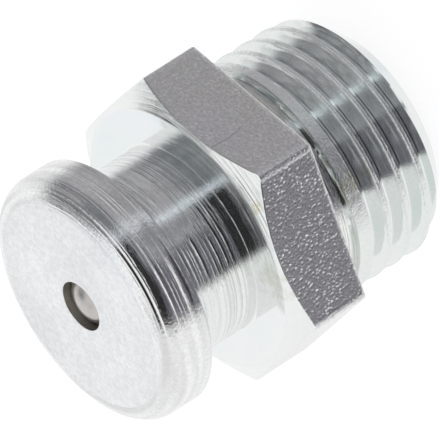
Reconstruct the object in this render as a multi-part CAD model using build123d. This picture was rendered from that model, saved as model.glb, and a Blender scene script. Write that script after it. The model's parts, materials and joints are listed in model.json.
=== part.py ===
from build123d import *
import math
import os

# Flat-head grease nipple, screwed into a machine so that a grease coupler can grip its head.
#
# Frame: millimetres, +Z along the axis towards the head. The origin is the centre of the
# hexagon's seating face, so the thread lies below Z = 0 and everything a fitter sees above it.
# +X passes through a corner of the hexagon.

# ---- Driving dimensions: head and neck ----
HEAD_DIAMETER = 10.0
HEAD_THICKNESS = 2.0
HEAD_EDGE_RADIUS = 0.8  # large round on the edge that the coupler slides over
HEAD_BACK_CHAMFER = 0.12
NECK_DIAMETER = 7.6
NECK_LENGTH = 3.1
NECK_ROOT_CHAMFER = 0.1  # left by the turning tool at both ends of the neck

# ---- Driving dimensions: hexagon ----
HEX_ACROSS_FLATS = 11.0
HEX_HEIGHT = 3.0
HEX_CHAMFER_DIAMETER = 10.6  # where the front chamfer meets the hexagon's front face
HEX_CHAMFER_ANGLE = 30.0  # degrees below the front face

# ---- Driving dimensions: G 1/8 A thread ----
THREAD_MAJOR_DIAMETER = 9.7  # within the tolerance band, 9.514 to 9.728
THREADS_PER_INCH = 28
THREAD_DEPTH = 0.58
THREAD_FLANK_ANGLE = 27.5  # half of the 55 degree included angle
THREAD_START_ANGLE = -83.0  # degrees about Z, where the groove starts below the end face
SHANK_LENGTH = 5.6  # from the seating face to the end face
SHANK_END_CHAMFER = 0.95
UNDERCUT_DIAMETER = 9.0
UNDERCUT_LENGTH = 1.4  # including its 45 degree flank
SEAT_RELIEF_DEPTH = 0.12  # the undercut bites this far into the seating face
SEAT_RELIEF_CLEARANCE = 0.1  # the relief reaches this far outside the thread

# ---- Driving dimensions: passage and check valve ----
INLET_DIAMETER = 2.0
BALL_DIAMETER = 3.0
SEAT_CONE_ANGLE = 45.0  # half of the 90 degree valve seat
SEAT_DEPTH = 0.38  # from the head's face down to the valve seat's edge
BORE_DIAMETER = 3.4
BALL_SEAT_GAP = 0.01
LIP_THICKNESS = 0.45  # metal staked over the bore's mouth to hold the spring
LIP_OPENING_DIAMETER = 2.3
STAKE_GROOVE_DIAMETER = 4.7  # mean diameter of the ring that the staking punch leaves
STAKE_GROOVE_DEPTH = 0.3

# ---- Driving dimensions: valve spring ----
SPRING_WIRE_DIAMETER = 0.28
SPRING_MEAN_DIAMETER = 2.3
SPRING_COILS = 5.5
SPRING_SEAT_GAP = 0.02

# ---- Derived places ----
NECK_TOP = HEX_HEIGHT + NECK_LENGTH
FACE_Z = NECK_TOP + HEAD_THICKNESS
THREAD_PITCH = 25.4 / THREADS_PER_INCH
THREAD_MAJOR_RADIUS = THREAD_MAJOR_DIAMETER / 2
THREAD_ROOT_RADIUS = THREAD_MAJOR_RADIUS - THREAD_DEPTH
RELIEF_RADIUS = THREAD_MAJOR_RADIUS + SEAT_RELIEF_CLEARANCE
UNDERCUT_RADIUS = UNDERCUT_DIAMETER / 2
UNDERCUT_FLANK_TOP = THREAD_MAJOR_RADIUS - UNDERCUT_RADIUS - UNDERCUT_LENGTH
END_Z = -SHANK_LENGTH
LIP_TOP = END_Z + LIP_THICKNESS

BALL_RADIUS = BALL_DIAMETER / 2
SEAT_EDGE_Z = FACE_Z - SEAT_DEPTH
BORE_CONE_HEIGHT = (BORE_DIAMETER - INLET_DIAMETER) / 2 / math.tan(math.radians(SEAT_CONE_ANGLE))
BORE_TOP = SEAT_EDGE_Z - BORE_CONE_HEIGHT

# The ball touches the cone where the cone's normal passes through the ball's centre.
CONE_APEX_Z = SEAT_EDGE_Z + INLET_DIAMETER / 2 / math.tan(math.radians(SEAT_CONE_ANGLE))
BALL_Z = CONE_APEX_Z - (BALL_RADIUS + BALL_SEAT_GAP) / math.sin(math.radians(SEAT_CONE_ANGLE))

# The spring's ground top end touches the ball at the wire's inner edge.
SPRING_INNER_RADIUS = (SPRING_MEAN_DIAMETER - SPRING_WIRE_DIAMETER) / 2
SPRING_TOP = BALL_Z - math.sqrt(BALL_RADIUS**2 - SPRING_INNER_RADIUS**2) - SPRING_SEAT_GAP
SPRING_BOTTOM = LIP_TOP + SPRING_SEAT_GAP


def nearest_corners(sketch, places):
    """The sketch's vertices that lie nearest to the given (radius, height) places."""
    corners = []
    for radius, height in places:
        place = Vector(radius, 0, height)
        corners.append(min(sketch.vertices(), key=lambda v: (Vector(*v) - place).length))
    return corners


def turned_solid(points):
    """Revolve a closed outline of (radius, height) points about the Z axis."""
    outline = Plane.XZ * Polygon(*points, align=None)
    return revolve(outline, Axis.Z)


def head_and_neck():
    """Button head and neck, with a core through the hexagon to the relief in its seat."""
    head_radius = HEAD_DIAMETER / 2
    neck_radius = NECK_DIAMETER / 2
    outline = Plane.XZ * Polygon(
        (0, FACE_Z),
        (head_radius, FACE_Z),
        (head_radius, NECK_TOP),
        (neck_radius, NECK_TOP),
        (neck_radius, HEX_HEIGHT),
        (RELIEF_RADIUS, HEX_HEIGHT),
        (RELIEF_RADIUS, SEAT_RELIEF_DEPTH),
        (UNDERCUT_RADIUS, SEAT_RELIEF_DEPTH),
        (UNDERCUT_RADIUS, 0),
        (0, 0),
        align=None,
    )
    outline = fillet(nearest_corners(outline, [(head_radius, FACE_Z)]), HEAD_EDGE_RADIUS)
    outline = chamfer(nearest_corners(outline, [(head_radius, NECK_TOP)]), HEAD_BACK_CHAMFER)
    roots = [(neck_radius, NECK_TOP), (neck_radius, HEX_HEIGHT)]
    outline = chamfer(nearest_corners(outline, roots), NECK_ROOT_CHAMFER)
    return revolve(outline, Axis.Z)


def hexagon():
    """Spanner hexagon with its front corners turned away and a relief cut into the seat."""
    prism = extrude(RegularPolygon(HEX_ACROSS_FLATS / 2, 6, major_radius=False), HEX_HEIGHT)
    chamfer_radius = HEX_CHAMFER_DIAMETER / 2
    blank_radius = HEX_ACROSS_FLATS
    fall = (blank_radius - chamfer_radius) * math.tan(math.radians(HEX_CHAMFER_ANGLE))
    blank = turned_solid(
        [
            (0, 0),
            (blank_radius, 0),
            (blank_radius, HEX_HEIGHT - fall),
            (chamfer_radius, HEX_HEIGHT),
            (0, HEX_HEIGHT),
        ]
    )
    relief = Cylinder(RELIEF_RADIUS, SEAT_RELIEF_DEPTH, align=(Align.CENTER, Align.CENTER, Align.MIN))
    return (prism & blank) - relief


def threaded_shank():
    """Shank in the order it is made: bar, thread, then the undercut and the end chamfer."""
    bar = Cylinder(THREAD_MAJOR_RADIUS, SHANK_LENGTH, align=(Align.CENTER, Align.CENTER, Align.MAX))
    threaded = bar - thread_groove() - undercut_ring() - end_chamfer_ring()
    return Rot(0, 0, THREAD_START_ANGLE) * threaded


def thread_groove():
    """Right-hand helical groove, from below the end face up to the undercut's flank."""
    overshoot = SEAT_RELIEF_CLEARANCE
    root_half_width = THREAD_PITCH / 12
    flank_rise = THREAD_DEPTH + overshoot
    mouth_half_width = root_half_width + flank_rise * math.tan(math.radians(THREAD_FLANK_ANGLE))
    mouth_radius = THREAD_ROOT_RADIUS + flank_rise
    section = Plane.XZ * Polygon(
        (THREAD_ROOT_RADIUS, -root_half_width),
        (mouth_radius, -mouth_half_width),
        (mouth_radius, mouth_half_width),
        (THREAD_ROOT_RADIUS, root_half_width),
        align=None,
    )
    start_z = END_Z - THREAD_PITCH
    stop_z = UNDERCUT_FLANK_TOP - mouth_half_width / 2
    path = Helix(THREAD_PITCH, stop_z - start_z, THREAD_ROOT_RADIUS)
    groove = sweep(section, path=path, is_frenet=True)
    return Pos(0, 0, start_z) * groove


def undercut_ring():
    """What the undercut removes: a groove behind the seating face, with a 45 degree flank."""
    flank = RELIEF_RADIUS - UNDERCUT_RADIUS
    return turned_solid(
        [
            (UNDERCUT_RADIUS, SHANK_LENGTH),
            (UNDERCUT_RADIUS, UNDERCUT_FLANK_TOP),
            (RELIEF_RADIUS, UNDERCUT_FLANK_TOP - flank),
            (RELIEF_RADIUS, SHANK_LENGTH),
        ]
    )


def end_chamfer_ring():
    """What the 45 degree end chamfer removes."""
    overshoot = SEAT_RELIEF_CLEARANCE
    return turned_solid(
        [
            (THREAD_MAJOR_RADIUS + overshoot, END_Z + SHANK_END_CHAMFER + overshoot),
            (THREAD_MAJOR_RADIUS + overshoot, END_Z - overshoot),
            (THREAD_MAJOR_RADIUS - SHANK_END_CHAMFER - overshoot, END_Z - overshoot),
        ]
    )


def passage():
    """Everything bored out along the axis: inlet, valve seat, spring bore and lip opening."""
    inlet_radius = INLET_DIAMETER / 2
    bore_radius = BORE_DIAMETER / 2
    lip_radius = LIP_OPENING_DIAMETER / 2
    clear = HEAD_THICKNESS
    return turned_solid(
        [
            (0, FACE_Z + clear),
            (inlet_radius, FACE_Z + clear),
            (inlet_radius, SEAT_EDGE_Z),
            (bore_radius, BORE_TOP),
            (bore_radius, LIP_TOP),
            (lip_radius, LIP_TOP),
            (lip_radius, END_Z - clear),
            (0, END_Z - clear),
        ]
    )


def stake_groove():
    """Ring pressed into the end face, which pushed the lip in over the bore's mouth."""
    mean_radius = STAKE_GROOVE_DIAMETER / 2
    half_width = STAKE_GROOVE_DEPTH
    return turned_solid(
        [
            (mean_radius - 2 * half_width, END_Z - half_width),
            (mean_radius, END_Z + STAKE_GROOVE_DEPTH),
            (mean_radius + 2 * half_width, END_Z - half_width),
        ]
    )


def nipple_body():
    """The one-piece turned body."""
    body = head_and_neck() + hexagon() + threaded_shank()
    return body - passage() - stake_groove()


def check_ball():
    """Steel ball that the spring holds against the seat behind the inlet."""
    return Pos(0, 0, BALL_Z) * Sphere(BALL_RADIUS)


def valve_spring():
    """Open-coil compression spring with both ends ground square, its wire eight-sided."""
    length = SPRING_TOP - SPRING_BOTTOM
    path = Helix(length / SPRING_COILS, length, SPRING_MEAN_DIAMETER / 2)
    wire = sweep(
        Plane(origin=path @ 0, z_dir=path % 0) * RegularPolygon(SPRING_WIRE_DIAMETER / 2, 8),
        path=path,
        is_frenet=True,
    )
    between_seats = Cylinder(
        SPRING_MEAN_DIAMETER,
        length,
        align=(Align.CENTER, Align.CENTER, Align.MIN),
    )
    return Pos(0, 0, SPRING_BOTTOM) * (wire & between_seats)


PIECES = {
    "nipple_body": nipple_body,
    "check_ball": check_ball,
    "valve_spring": valve_spring,
}

os.makedirs("parts", exist_ok=True)
for name, make in PIECES.items():
    export_step(make(), f"parts/{name}.step")
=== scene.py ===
"""Looks of a flat-head grease nipple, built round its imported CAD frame.

Sizes are millimetres in the classes and metres in the meshes. +Z runs along the axis towards
the head, the origin is the centre of the hexagon's seating face, and +X passes through a corner
of the hexagon.
"""

import json
import logging
import math
from dataclasses import dataclass, field, replace
from enum import Enum

import bmesh
import bpy
import numpy as np
from mathutils import Matrix, Vector

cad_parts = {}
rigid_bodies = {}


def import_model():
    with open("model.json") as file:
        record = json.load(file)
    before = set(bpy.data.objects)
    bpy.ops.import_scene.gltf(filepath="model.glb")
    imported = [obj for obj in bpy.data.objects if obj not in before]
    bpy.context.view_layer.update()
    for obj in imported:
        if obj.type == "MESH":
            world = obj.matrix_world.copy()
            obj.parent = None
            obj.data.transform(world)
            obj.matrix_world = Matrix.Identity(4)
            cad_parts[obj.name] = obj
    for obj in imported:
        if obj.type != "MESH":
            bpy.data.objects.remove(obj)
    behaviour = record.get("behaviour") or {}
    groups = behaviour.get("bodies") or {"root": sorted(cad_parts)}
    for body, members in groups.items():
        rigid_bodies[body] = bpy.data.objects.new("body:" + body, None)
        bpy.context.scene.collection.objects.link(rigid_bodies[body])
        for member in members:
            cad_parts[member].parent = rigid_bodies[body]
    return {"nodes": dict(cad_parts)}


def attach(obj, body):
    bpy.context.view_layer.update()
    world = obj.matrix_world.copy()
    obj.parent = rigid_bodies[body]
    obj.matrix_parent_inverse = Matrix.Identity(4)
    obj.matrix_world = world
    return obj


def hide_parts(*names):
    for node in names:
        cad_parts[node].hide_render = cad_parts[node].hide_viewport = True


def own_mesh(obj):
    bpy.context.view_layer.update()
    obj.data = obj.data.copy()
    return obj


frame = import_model()

LOG = logging.getLogger("grease_nipple")
MM = 0.001
TURN = 2 * math.pi
WHITE = (1.0, 1.0, 1.0, 1.0)
# Points closer together than this, in metres, become one.
WELD = 0.001 * MM


# ---------------------------------------------------------------- node sheets


class Sheet:
    """A node tree with short calls that add nodes to it and link them."""

    def __init__(self, tree: bpy.types.NodeTree) -> None:
        """Keep the tree that the calls work on."""
        self.tree = tree

    def add(self, kind: str, inputs: dict | None = None, **settings) -> bpy.types.Node:
        """Add one node.

        Args:
            kind: Blender's name of the node type.
            inputs: Values or output sockets by input name or index.
            settings: Properties of the node, set before its inputs.

        Returns:
            The new node.
        """
        node = self.tree.nodes.new(kind)
        for name, value in settings.items():
            setattr(node, name, value)
        for name, value in (inputs or {}).items():
            self.feed(node.inputs[name], value)
        return node

    def feed(self, socket: bpy.types.NodeSocket, value: object) -> None:
        """Link an output socket to an input, or set the input's own value.

        Args:
            socket: The input socket.
            value: An output socket, a number, a colour or a vector.
        """
        if isinstance(value, bpy.types.NodeSocket):
            self.tree.links.new(value, socket)
        elif value is not None:
            socket.default_value = value

    def math(self, operation: str, *values: object) -> bpy.types.NodeSocket:
        """Add a Math node.

        Args:
            operation: The node's operation.
            values: Up to three numbers or sockets.

        Returns:
            The result socket.
        """
        node = self.add("ShaderNodeMath", operation=operation)
        for socket, value in zip(node.inputs, values):
            self.feed(socket, value)
        return node.outputs[0]

    def times(self, *values: object) -> bpy.types.NodeSocket:
        """Return the product of two numbers or sockets."""
        return self.math("MULTIPLY", *values)

    def plus(self, *values: object) -> bpy.types.NodeSocket:
        """Return the sum of two numbers or sockets."""
        return self.math("ADD", *values)

    def minus(self, *values: object) -> bpy.types.NodeSocket:
        """Return the first of two numbers or sockets less the second."""
        return self.math("SUBTRACT", *values)

    def ratio(self, *values: object) -> bpy.types.NodeSocket:
        """Return the first of two numbers or sockets divided by the second."""
        return self.math("DIVIDE", *values)

    def vector(self, operation: str, *values: object) -> bpy.types.NodeSocket:
        """Add a Vector Math node.

        Args:
            operation: The node's operation.
            values: Vectors or sockets.

        Returns:
            The number socket of DOT_PRODUCT and LENGTH, else the vector socket.
        """
        node = self.add("ShaderNodeVectorMath", operation=operation)
        for socket, value in zip(node.inputs, values):
            self.feed(socket, value)
        return node.outputs["Value" if operation in ("DOT_PRODUCT", "LENGTH") else "Vector"]

    def scaled(self, vector: object, factor: object) -> bpy.types.NodeSocket:
        """Return a vector times a number or socket."""
        node = self.add("ShaderNodeVectorMath", {0: vector, "Scale": factor}, operation="SCALE")
        return node.outputs["Vector"]

    def group(self, tree: bpy.types.NodeTree, inputs: dict) -> bpy.types.Node:
        """Add a node that shows a shared shader group."""
        return self.add("ShaderNodeGroup", inputs, node_tree=tree)

    def join(self, x: object, y: object, z: object) -> bpy.types.NodeSocket:
        """Return the vector made of three numbers or sockets."""
        return self.add("ShaderNodeCombineXYZ", {"X": x, "Y": y, "Z": z}).outputs[0]

    def split(self, vector: object) -> tuple[bpy.types.NodeSocket, ...]:
        """Return the three components of a vector."""
        return tuple(self.add("ShaderNodeSeparateXYZ", {"Vector": vector}).outputs)

    def remap(
        self, value: object, low: object, high: object, to_low: float = 0.0, to_high: float = 1.0,
        smooth: bool = True,
    ) -> bpy.types.NodeSocket:
        """Carry a value from one range to another, held at both ends.

        Args:
            value: The socket to carry over.
            low: Start of the source range.
            high: End of the source range.
            to_low: Result at the start.
            to_high: Result at the end.
            smooth: Whether the ends are eased.

        Returns:
            The result socket.
        """
        node = self.add(
            "ShaderNodeMapRange",
            {"Value": value, "From Min": low, "From Max": high, "To Min": to_low, "To Max": to_high},
            interpolation_type="SMOOTHSTEP" if smooth else "LINEAR",
        )
        return node.outputs["Result"]

    def fade(self, value: object, low: object, high: object) -> bpy.types.NodeSocket:
        """Return 1 below a range, falling to 0 above it."""
        return self.remap(value, low, high, 1.0, 0.0)

    def blend(self, factor: object, first: object, second: object) -> bpy.types.NodeSocket:
        """Mix two colours by a factor.

        Args:
            factor: 0 gives the first colour and 1 the second.
            first: A colour or socket.
            second: A colour or socket.

        Returns:
            The mixed colour's socket.
        """
        node = self.add("ShaderNodeMix", data_type="RGBA", clamp_factor=True)
        self.feed(node.inputs[0], factor)
        self.feed(node.inputs[6], first)
        self.feed(node.inputs[7], second)
        return node.outputs[2]

    def noise(
        self, vector: object, scale: float, detail: float = 2.0, roughness: float = 0.5, seed: object = 0.0
    ) -> bpy.types.NodeSocket:
        """Add a seeded Noise texture.

        Args:
            vector: Where it is read.
            scale: Its frequency.
            detail: Its octaves.
            roughness: The weight of the finer octaves.
            seed: The fourth coordinate, which tells patterns apart.

        Returns:
            The factor socket.
        """
        node = self.add(
            "ShaderNodeTexNoise",
            {"Vector": vector, "W": seed, "Scale": scale, "Detail": detail, "Roughness": roughness},
            noise_dimensions="4D",
        )
        return node.outputs[0]


def blank_sheet(owner: bpy.types.Material | bpy.types.World) -> Sheet:
    """Empty a node tree and start a sheet on it.

    Args:
        owner: The material or world that has the tree.

    Returns:
        The sheet.
    """
    owner.use_nodes = True
    owner.node_tree.nodes.clear()
    return Sheet(owner.node_tree)


# ------------------------------------------------------------ shared effects


class EffectGroups:
    """Node groups shared by the finishes, each built once.

    The rings' waver divides by a distance from the axis of at least NEAR_AXIS, and scratches show only
    further out than FLAT_DISTANCE, both in millimetres.
    """

    NEAR_AXIS = 0.01
    FLAT_DISTANCE = 5.3

    def __init__(self) -> None:
        """Build every group."""
        self.turned_rings = self._turned_rings()
        self.plating_bloom = self._plating_bloom()
        self.dimples = self._dimples()
        self.curved_scratch = self._curved_scratch()
        self.painted_reflection = self._painted_reflection()

    @staticmethod
    def _new(
        name: str, inputs: dict[str, float], outputs: tuple[str, ...]
    ) -> tuple[Sheet, dict[str, bpy.types.NodeSocket], bpy.types.Node]:
        """Start a shader group with number sockets and an object-space vector input.

        Args:
            name: The group's name.
            inputs: Default values by input name.
            outputs: Names of the outputs, all numbers.

        Returns:
            The group's sheet, its inputs by name with Place in millimetres, and its output node.
        """
        tree = bpy.data.node_groups.new(name, "ShaderNodeTree")
        tree.interface.new_socket("Place", in_out="INPUT", socket_type="NodeSocketVector")
        for socket, value in inputs.items():
            made = tree.interface.new_socket(socket, in_out="INPUT", socket_type="NodeSocketFloat")
            made.default_value = value
        for socket in outputs:
            tree.interface.new_socket(socket, in_out="OUTPUT", socket_type="NodeSocketFloat")
        sheet = Sheet(tree)
        given = {socket.name: socket for socket in sheet.add("NodeGroupInput").outputs if socket.name}
        made = sheet.add("NodeGroupOutput")
        given["Place"] = sheet.scaled(given["Place"], 1 / MM)
        return sheet, given, made

    def _turned_rings(self) -> bpy.types.NodeTree:
        """Lathe marks: rings about the Z axis that vary slowly round the turn.

        Returns:
            A group with Height, from 0 to 1, Tone, a slower variation of the rings, and Radius,
            the distance from the axis in millimetres.
        """
        sheet, given, made = self._new(
            "turned_rings", {"Rings per mm": 6.0, "Waver": 0.6, "Seed": 0.0}, ("Height", "Tone", "Radius")
        )
        x, y, z = sheet.split(given["Place"])
        radius = sheet.math("SQRT", sheet.plus(sheet.times(x, x), sheet.times(y, y)))
        inverse = sheet.ratio(given["Waver"], sheet.math("MAXIMUM", radius, self.NEAR_AXIS))
        around = sheet.times(x, inverse)
        across = sheet.times(y, inverse)
        rings = given["Rings per mm"]
        place = sheet.join(sheet.times(radius, rings), sheet.times(z, rings), around)
        seed = sheet.plus(across, given["Seed"])
        fine = sheet.noise(place, 1.0, detail=3.0, roughness=0.65, seed=seed)
        slow = sheet.noise(place, 0.23, detail=1.0, seed=sheet.plus(seed, 7.3))
        sheet.feed(made.inputs["Height"], sheet.remap(fine, 0.25, 0.75, smooth=False))
        sheet.feed(made.inputs["Tone"], sheet.remap(slow, 0.3, 0.7))
        sheet.feed(made.inputs["Radius"], radius)
        return sheet.tree

    def _plating_bloom(self) -> bpy.types.NodeTree:
        """Cloudy variation of bright zinc plating.

        Returns:
            A group with Cloud, broad and soft, and Grain, the fine crystal mottle.
        """
        sheet, given, made = self._new(
            "plating_bloom", {"Clouds per mm": 0.35, "Grains per mm": 9.0, "Seed": 0.0}, ("Cloud", "Grain")
        )
        place = given["Place"]
        cloud = sheet.noise(sheet.scaled(place, given["Clouds per mm"]), 1.0, 2.0, 0.55, given["Seed"])
        grain = sheet.noise(sheet.scaled(place, given["Grains per mm"]), 1.0, 3.0, 0.6, given["Seed"])
        sheet.feed(made.inputs["Cloud"], sheet.remap(cloud, 0.3, 0.7))
        sheet.feed(made.inputs["Grain"], sheet.remap(grain, 0.25, 0.75, smooth=False))
        return sheet.tree

    def _dimples(self) -> bpy.types.NodeTree:
        """Shallow uneven dimples strewn over a surface.

        Returns:
            A group with Dimple, up to 1 in the middle of each dimple and 0 where the surface is whole.
        """
        inputs = {"Dimples per mm": 5.0, "Share": 0.4, "Seed": 0.0}
        sheet, given, made = self._new("dimples", inputs, ("Dimple",))
        place = given["Place"]
        bent = [
            sheet.remap(sheet.noise(place, 7.0, seed=seed), 0.2, 0.8, -0.04, 0.04, smooth=False)
            for seed in (1, 2)
        ]
        place = sheet.vector("ADD", place, sheet.join(bent[0], given["Seed"], bent[1]))
        cells = sheet.add(
            "ShaderNodeTexVoronoi",
            {"Vector": place, "Scale": given["Dimples per mm"], "Randomness": 1.0},
            voronoi_dimensions="3D",
        )
        away = sheet.ratio(cells.outputs["Distance"], given["Share"])
        dimple = sheet.fade(away, 0.0, 1.0)
        depth = sheet.remap(sheet.split(cells.outputs["Color"])[0], 0.2, 1.0, 0.15, 1.0, smooth=False)
        patch = sheet.remap(sheet.noise(place, 1.6, 2.0, 0.6, given["Seed"]), 0.3, 0.65, 0.45, 1.0)
        depth = sheet.times(depth, patch)
        sheet.feed(made.inputs["Dimple"], sheet.times(dimple, depth))
        return sheet.tree

    def _painted_reflection(self) -> bpy.types.NodeTree:
        """One cloudy painted reflection round a point, a tinted patch that stands in for reflected light.

        Returns:
            A group with Mask, 1 in the middle of the painted reflection and 0 outside it.
        """
        inputs = {"X": 0.0, "Y": 0.0, "Z": 0.0, "Reach": 1.0, "Seed": 0.0}
        sheet, given, made = self._new("painted_reflection", inputs, ("Mask",))
        place = given["Place"]
        centre = sheet.join(*(given[axis] for axis in "XYZ"))
        away = sheet.vector("LENGTH", sheet.vector("SUBTRACT", place, centre))
        share = sheet.ratio(away, given["Reach"])
        cloud = sheet.remap(sheet.noise(place, 2.5, 3.0, 0.6, given["Seed"]), 0.3, 0.7, 0.0, 0.7)
        sheet.feed(made.inputs["Mask"], sheet.fade(sheet.plus(share, cloud), 0.35, 1.1))
        return sheet.tree

    def _curved_scratch(self) -> bpy.types.NodeTree:
        """One thin bent scratch along the axis on a flat side.

        Returns:
            A group with Line, 1 along the scratch and 0 elsewhere.
        """
        names = ("Facing", "Side", "Low", "High", "Slope", "Bend", "Width")
        sheet, given, made = self._new("curved_scratch", dict.fromkeys(names, 0.0), ("Line",))
        facing, side, low, high, slope, bend, width = (given[name] for name in names)
        x, y, z = sheet.split(given["Place"])
        angle = sheet.math("RADIANS", facing)
        cosine, sine = sheet.math("COSINE", angle), sheet.math("SINE", angle)
        out = sheet.plus(sheet.times(x, cosine), sheet.times(y, sine))
        along = sheet.minus(sheet.times(y, cosine), sheet.times(x, sine))
        up = sheet.minus(z, low)
        line = sheet.math("MULTIPLY_ADD", sheet.math("MULTIPLY_ADD", bend, up, slope), up, side)
        off = sheet.ratio(sheet.math("ABSOLUTE", sheet.minus(along, line)), width)
        mask = sheet.fade(off, 0.3, 1.0)
        for test in (
            sheet.math("GREATER_THAN", out, self.FLAT_DISTANCE),
            sheet.math("GREATER_THAN", up, 0.0),
            sheet.math("LESS_THAN", z, high),
        ):
            mask = sheet.times(mask, test)
        sheet.feed(made.inputs["Line"], mask)
        return sheet.tree


# ------------------------------------------------------------------ finishes


class Region(Enum):
    """Regions of the plated body, each with a finish of its own."""

    FACE = 0
    RIM = 1
    NECK = 2
    HEX_FRONT = 3
    HEX_SIDE = 4
    THREAD = 5
    BORE = 6
    UNDERCUT = 7


@dataclass(frozen=True)
class Scratch:
    """A thin scratch on the flat that faces an angle, as side = start + slope * up + bend * up * up."""

    facing: float
    side: float
    low: float
    high: float
    slope: float = 0.0
    bend: float = 0.0
    width: float = 0.03
    strength: float = 0.5


@dataclass(frozen=True)
class PaintedReflection:
    """A painted reflection: a cloudy tinted patch that stands in for reflected light, round a point in
    millimetres.
    """

    centre: tuple[float, float, float]
    reach: float
    colour: tuple[float, float, float]
    strength: float = 0.8


@dataclass(frozen=True)
class OuterZone:
    """Stronger marks of a finish beyond a radius, as on crests and worn corners."""

    radius: float
    soft: float = 0.03
    ring_height: float = 0.0
    ring_shade: float = 0.0
    grain_height: float = 0.0
    roughness: float = 0.0


NO_ZONE = OuterZone(radius=100.0)


@dataclass(frozen=True)
class MetalFinish:
    """How one kind of metal surface looks, with its marks at real scale."""

    name: str
    colour: tuple[float, float, float] = (0.9, 0.9, 0.91)
    tint: tuple[float, float, float] = (0.86, 0.89, 0.88)
    roughness: float = 0.2
    roughness_spread: float = 0.08
    ring_pitch: float = 0.15
    ring_height: float = 0.0
    ring_waver: float = 0.6
    ring_shade: float = 0.0
    grain_pitch: float = 0.1
    grain_height: float = 0.0
    grain_shade: float = 0.05
    dimple_pitch: float = 0.2
    dimple_share: float = 0.4
    dimple_height: float = 0.0
    dull_share: float = 0.55
    outer: OuterZone | None = None
    scratches: tuple[Scratch, ...] = ()
    # Painted reflections: tinted patches that stand in for reflected light.
    painted_reflections: tuple[PaintedReflection, ...] = ()
    seed: float = 0.0

    def material(self, effects: EffectGroups) -> bpy.types.Material:
        """Build the finish's material.

        Args:
            effects: The shared node groups.

        Returns:
            The material.
        """
        material = bpy.data.materials.new(self.name)
        sheet = blank_sheet(material)
        place = sheet.add("ShaderNodeTexCoord").outputs["Object"]
        common = {"Place": place, "Seed": self.seed}
        inputs = {**common, "Rings per mm": 1 / self.ring_pitch, "Waver": self.ring_waver}
        rings = sheet.group(effects.turned_rings, inputs)
        bloom = sheet.group(effects.plating_bloom, {**common, "Grains per mm": 1 / self.grain_pitch})
        zone = self.outer or NO_ZONE
        outer = sheet.remap(rings.outputs["Radius"], zone.radius - zone.soft, zone.radius + zone.soft)

        dull = (*(self.dull_share * c for c in self.colour), 1.0)
        colour = sheet.blend(bloom.outputs["Cloud"], (*self.colour, 1.0), (*self.tint, 1.0))
        colour = sheet.blend(sheet.times(bloom.outputs["Grain"], self.grain_shade), colour, dull)
        shade = sheet.math("MULTIPLY_ADD", outer, zone.ring_shade, self.ring_shade)
        colour = sheet.blend(sheet.times(rings.outputs["Tone"], shade), colour, dull)
        for scratch in self.scratches:
            line = self._scratch(sheet, effects, place, scratch)
            colour = sheet.blend(sheet.times(line, scratch.strength), colour, dull)
        # Painted reflections: tinted patches of reflected light blended into the colour.
        for painted_reflection in self.painted_reflections:
            x, y, z = painted_reflection.centre
            inputs = {**common, "X": x, "Y": y, "Z": z, "Reach": painted_reflection.reach}
            cloud = sheet.group(effects.painted_reflection, inputs).outputs["Mask"]
            colour = sheet.blend(sheet.times(cloud, painted_reflection.strength), colour, (*painted_reflection.colour, 1.0))

        low, high = self.roughness - self.roughness_spread, self.roughness + self.roughness_spread
        rough = sheet.remap(bloom.outputs["Grain"], 0.0, 1.0, low, high, smooth=False)
        rough = sheet.math("MULTIPLY_ADD", outer, zone.roughness, rough)
        ring_height = sheet.math("MULTIPLY_ADD", outer, zone.ring_height, self.ring_height)
        height = sheet.times(rings.outputs["Height"], ring_height)
        grain_height = sheet.math("MULTIPLY_ADD", outer, zone.grain_height, self.grain_height)
        height = sheet.math("MULTIPLY_ADD", bloom.outputs["Grain"], grain_height, height)
        if self.dimple_height:
            inputs = {**common, "Dimples per mm": 1 / self.dimple_pitch, "Share": self.dimple_share}
            dimples = sheet.group(effects.dimples, inputs)
            height = sheet.math("MULTIPLY_ADD", dimples.outputs["Dimple"], -self.dimple_height, height)
        bump = sheet.add("ShaderNodeBump", {"Strength": 1.0, "Distance": MM, "Height": height})
        shader = sheet.add(
            "ShaderNodeBsdfPrincipled",
            {"Base Color": colour, "Metallic": 1.0, "Roughness": rough, "Normal": bump.outputs["Normal"]},
        )
        sheet.add("ShaderNodeOutputMaterial", {"Surface": shader.outputs["BSDF"]})
        return material

    @staticmethod
    def _scratch(
        sheet: Sheet, effects: EffectGroups, place: bpy.types.NodeSocket, scratch: Scratch
    ) -> bpy.types.NodeSocket:
        """Add one scratch.

        Args:
            sheet: The material's sheet.
            effects: The shared node groups.
            place: Object coordinates.
            scratch: The scratch.

        Returns:
            The mask of the scratch.
        """
        inputs = {
            "Place": place, "Facing": scratch.facing, "Side": scratch.side, "Low": scratch.low,
            "High": scratch.high, "Slope": scratch.slope, "Bend": scratch.bend, "Width": scratch.width,
        }
        return sheet.group(effects.curved_scratch, inputs).outputs["Line"]


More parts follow.
